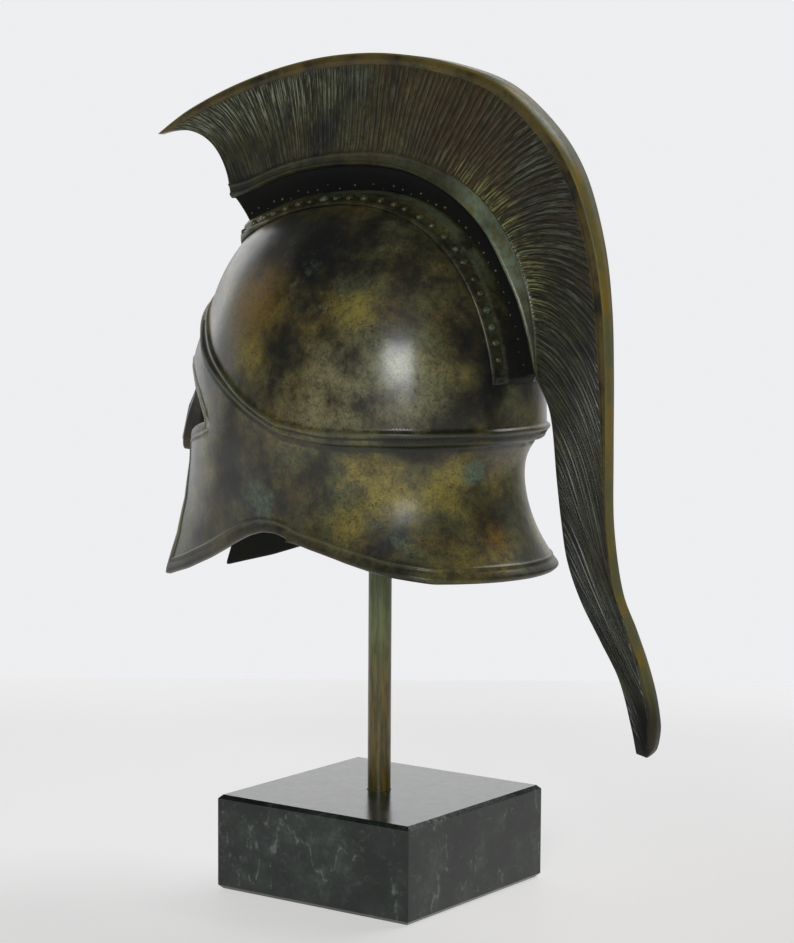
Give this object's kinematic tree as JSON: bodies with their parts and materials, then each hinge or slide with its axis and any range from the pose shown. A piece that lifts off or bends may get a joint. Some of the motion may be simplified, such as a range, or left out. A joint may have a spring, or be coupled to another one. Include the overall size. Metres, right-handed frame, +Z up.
{
  "type": "crested bronze helmet on marble stand",
  "caption": "Small ancient style bronze helmet with tall crest and tail, cheek guards and nasal, held by a rod in a square marble block for display.",
  "frame": {"origin": "centre of the marble block's underside", "axes": "+Z up, the helmet looks along -Y, +X towards the wearer's left"},
  "size_m": [0.1032, 0.2084, 0.2844],
  "materials": {
    "green_marble": "polished dark green marble with pale veins",
    "rod_bronze": "drawn bronze rod, green and ochre patina",
    "patinated_bronze": "waxed cast bronze, mottled dark brown, ochre and green patina",
    "strip_bronze": "waxed cast bronze, dark with green grey studs",
    "dark_bronze": "near black patina",
    "crest_bronze": "waxed cast bronze with hair grooves, dark with ochre and green rim"
  },
  "bodies": {
    "root": {"marble_base": "green_marble", "support_rod": "rod_bronze", "helmet_shell": "patinated_bronze", "crest_seat": "strip_bronze", "crest_riser": "dark_bronze", "crest_plume": "crest_bronze"}
  },
  "joints": []
}
